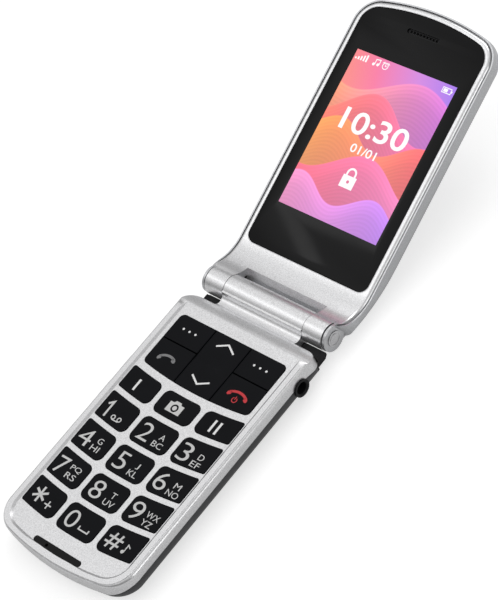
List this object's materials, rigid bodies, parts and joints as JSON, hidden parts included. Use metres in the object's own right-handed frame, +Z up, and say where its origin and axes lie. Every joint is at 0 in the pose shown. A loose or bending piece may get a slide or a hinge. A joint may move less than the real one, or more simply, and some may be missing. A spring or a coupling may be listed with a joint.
{
  "type": "flip phone",
  "caption": "Clamshell mobile phone: flat base with arched rows of keys under a sunk deck, and a display lid on a barrel hinge, shown wide open.",
  "frame": {"origin": "middle of the base's flat underside, on the plane the phone lies on", "axes": "+X to the right of the keypad as it is read, +Y from the mouth end to the earpiece end, +Z up out of the keys"},
  "size_m": [0.0509, 0.1868, 0.0345],
  "materials": {
    "silver_paint": "bright silver paint with a fine metallic grain",
    "lid_paint": "light grey silver paint",
    "dark_cover": "dark grey satin paint",
    "black_plastic": "black moulded plastic",
    "black_rubber": "black rubber",
    "key_black": "near-black satin, with pale printed legends",
    "lens_black": "black-bordered clear window, polished",
    "display_glass": "lit display with a red and violet picture",
    "grille_dark": "dark grey mesh",
    "battery_can": "wrapped cell, stands in for a lithium pack",
    "gold_contact": "gold-plated spring",
    "contact_dark": "dark plated contact",
    "board_green": "printed circuit board",
    "steel": "stamped or turned steel",
    "mat_rubber": "white silicone",
    "speaker_black": "moulded case",
    "flex_amber": "amber film",
    "camera_glass": "dark coated glass",
    "trim_silver": "bright silver trim"
  },
  "bodies": {
    "base": {"front_cover": "silver_paint", "battery_cover": "dark_cover", "chassis": "black_plastic", "battery": "battery_can", "battery_contacts": "gold_contact", "main_board": "board_green", "shield_can": "steel", "key_domes": "steel", "keypad_mat": "mat_rubber", "mouth_bumper": "black_rubber", "microphone": "steel", "loudspeaker": "speaker_black", "usb_socket": "steel", "charge_contacts": "contact_dark", "jack_socket": "black_plastic", "jack_bezel": "black_plastic", "sim_holder": "steel", "vibration_motor": "steel", "antenna": "flex_amber", "base_screws": "steel", "hinge_cartridge": "steel"},
    "lid": {"lid_frame": "silver_paint", "lid_shell": "lid_paint", "display_lens": "lens_black", "display_panel": "display_glass", "earpiece_grille": "grille_dark", "earpiece_speaker": "speaker_black", "lid_board": "board_green", "camera_module": "black_plastic", "camera_lens": "camera_glass", "camera_ring": "trim_silver", "hinge_shaft": "steel", "hinge_pivot": "steel", "hinge_caps": "trim_silver", "lid_magnet": "steel", "lid_screws": "steel", "display_flex": "flex_amber"},
    "key_soft_left": {"key_soft_left": "key_black"},
    "key_soft_right": {"key_soft_right": "key_black"},
    "key_call": {"key_call": "key_black"},
    "key_end": {"key_end": "key_black"},
    "key_rocker": {"key_rocker": "key_black"},
    "key_memory_one": {"key_memory_one": "key_black"},
    "key_camera": {"key_camera": "key_black"},
    "key_memory_two": {"key_memory_two": "key_black"},
    "key_1": {"key_1": "key_black"},
    "key_2": {"key_2": "key_black"},
    "key_3": {"key_3": "key_black"},
    "key_4": {"key_4": "key_black"},
    "key_5": {"key_5": "key_black"},
    "key_6": {"key_6": "key_black"},
    "key_7": {"key_7": "key_black"},
    "key_8": {"key_8": "key_black"},
    "key_9": {"key_9": "key_black"},
    "key_star": {"key_star": "key_black"},
    "key_0": {"key_0": "key_black"},
    "key_hash": {"key_hash": "key_black"},
    "volume_rocker": {"volume_rocker": "silver_paint"}
  },
  "joints": [
    {"name": "lid_hinge", "type": "hinge", "parent": "base", "child": "lid", "pos_m": [0, 0.0511, 0.0059], "axis": [1, 0, 0], "range_deg": [0, 159.6]},
    {"name": "key_soft_left_press", "type": "slide", "parent": "base", "child": "key_soft_left", "axis": [0, 0, -1], "range_m": [0, 0.0003], "stiffness_N_per_m": 500},
    {"name": "key_soft_right_press", "type": "slide", "parent": "base", "child": "key_soft_right", "axis": [0, 0, -1], "range_m": [0, 0.0003], "stiffness_N_per_m": 500},
    {"name": "key_call_press", "type": "slide", "parent": "base", "child": "key_call", "axis": [0, 0, -1], "range_m": [0, 0.0003], "stiffness_N_per_m": 500},
    {"name": "key_end_press", "type": "slide", "parent": "base", "child": "key_end", "axis": [0, 0, -1], "range_m": [0, 0.0003], "stiffness_N_per_m": 500},
    {"name": "rocker_tilt", "type": "hinge", "parent": "base", "child": "key_rocker", "pos_m": [0, 0.0274, 0.0077], "axis": [1, 0, 0], "range_deg": [-1.5, 1.5], "stiffness_Nm_per_rad": 0.3},
    {"name": "key_memory_one_press", "type": "slide", "parent": "base", "child": "key_memory_one", "axis": [0, 0, -1], "range_m": [0, 0.0003], "stiffness_N_per_m": 500},
    {"name": "key_camera_press", "type": "slide", "parent": "base", "child": "key_camera", "axis": [0, 0, -1], "range_m": [0, 0.0003], "stiffness_N_per_m": 500},
    {"name": "key_memory_two_press", "type": "slide", "parent": "base", "child": "key_memory_two", "axis": [0, 0, -1], "range_m": [0, 0.0003], "stiffness_N_per_m": 500},
    {"name": "key_1_press", "type": "slide", "parent": "base", "child": "key_1", "axis": [0, 0, -1], "range_m": [0, 0.0003], "stiffness_N_per_m": 500},
    {"name": "key_2_press", "type": "slide", "parent": "base", "child": "key_2", "axis": [0, 0, -1], "range_m": [0, 0.0003], "stiffness_N_per_m": 500},
    {"name": "key_3_press", "type": "slide", "parent": "base", "child": "key_3", "axis": [0, 0, -1], "range_m": [0, 0.0003], "stiffness_N_per_m": 500},
    {"name": "key_4_press", "type": "slide", "parent": "base", "child": "key_4", "axis": [0, 0, -1], "range_m": [0, 0.0003], "stiffness_N_per_m": 500},
    {"name": "key_5_press", "type": "slide", "parent": "base", "child": "key_5", "axis": [0, 0, -1], "range_m": [0, 0.0003], "stiffness_N_per_m": 500},
    {"name": "key_6_press", "type": "slide", "parent": "base", "child": "key_6", "axis": [0, 0, -1], "range_m": [0, 0.0003], "stiffness_N_per_m": 500},
    {"name": "key_7_press", "type": "slide", "parent": "base", "child": "key_7", "axis": [0, 0, -1], "range_m": [0, 0.0003], "stiffness_N_per_m": 500},
    {"name": "key_8_press", "type": "slide", "parent": "base", "child": "key_8", "axis": [0, 0, -1], "range_m": [0, 0.0003], "stiffness_N_per_m": 500},
    {"name": "key_9_press", "type": "slide", "parent": "base", "child": "key_9", "axis": [0, 0, -1], "range_m": [0, 0.0003], "stiffness_N_per_m": 500},
    {"name": "key_star_press", "type": "slide", "parent": "base", "child": "key_star", "axis": [0, 0, -1], "range_m": [0, 0.0003], "stiffness_N_per_m": 500},
    {"name": "key_0_press", "type": "slide", "parent": "base", "child": "key_0", "axis": [0, 0, -1], "range_m": [0, 0.0003], "stiffness_N_per_m": 500},
    {"name": "key_hash_press", "type": "slide", "parent": "base", "child": "key_hash", "axis": [0, 0, -1], "range_m": [0, 0.0003], "stiffness_N_per_m": 500},
    {"name": "volume_tilt", "type": "hinge", "parent": "base", "child": "volume_rocker", "pos_m": [-0.0229, 0.0111, 0.00755], "axis": [0, 0, 1], "range_deg": [-1.5, 1.5], "stiffness_Nm_per_rad": 0.3}
  ]
}
